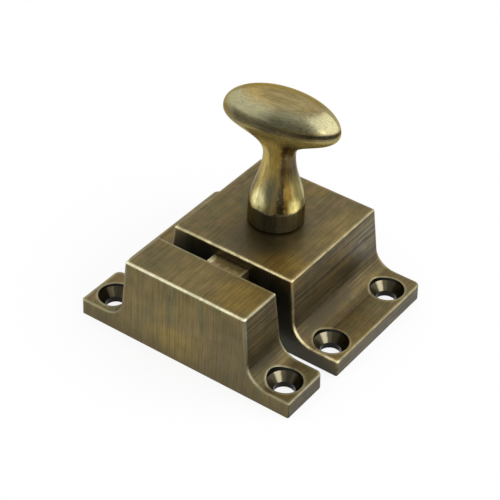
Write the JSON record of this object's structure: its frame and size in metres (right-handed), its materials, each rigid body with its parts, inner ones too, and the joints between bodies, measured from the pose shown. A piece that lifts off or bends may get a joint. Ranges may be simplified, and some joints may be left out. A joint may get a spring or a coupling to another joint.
{
  "type": "cupboard turn latch",
  "caption": "Surface cupboard latch in antique brass: a turn knob on a cast case draws a spring bolt out of a separate cast keeper.",
  "frame": {"origin": "on the mounting face, on the knob's axis, at the centre of the case's four screw holes", "axes": "+Z out of the door along the knob's axis, +X along the keeper, and the bolt points along -Y into the keeper"},
  "size_m": [0.0508, 0.046, 0.0473],
  "materials": {
    "case_brass": "antique brass, brushed, edges worn bright",
    "keeper_brass": "antique brass, brushed, edges worn bright",
    "knob_brass": "antique brass, rubbed lighter by hands",
    "bolt_brass": "bare brass, dulled",
    "plain_brass": "rolled brass sheet",
    "inner_steel": "ground steel, oiled",
    "screw_steel": "zinc plated steel",
    "spring_steel": "drawn spring wire"
  },
  "bodies": {
    "latch": {"case": "case_brass", "keeper": "keeper_brass", "back_plate": "plain_brass", "spring_left": "spring_steel", "spring_right": "spring_steel", "plate_screw_front_left": "screw_steel", "plate_screw_front_right": "screw_steel", "plate_screw_rear_left": "screw_steel", "plate_screw_rear_right": "screw_steel"},
    "turn": {"knob": "knob_brass", "thrust_washer": "plain_brass", "cam": "inner_steel", "cam_screw": "screw_steel"},
    "slider": {"bolt": "bolt_brass"}
  },
  "joints": [
    {"name": "knob_turn", "type": "hinge", "parent": "latch", "child": "turn", "pos_m": [0, 0, 0.0175], "axis": [0, 0, 1], "range_deg": [0, 60]},
    {"name": "bolt_slide", "type": "slide", "parent": "latch", "child": "slider", "axis": [0, 1, 0], "range_m": [0, 0.004], "stiffness_N_per_m": 1370, "springref_m": -0.0025, "deforming": ["spring_left", "spring_right"]}
  ],
  "couplings": [
    {"joint": "knob_turn", "follows": "bolt_slide", "rad_per_m": 261.79}
  ]
}
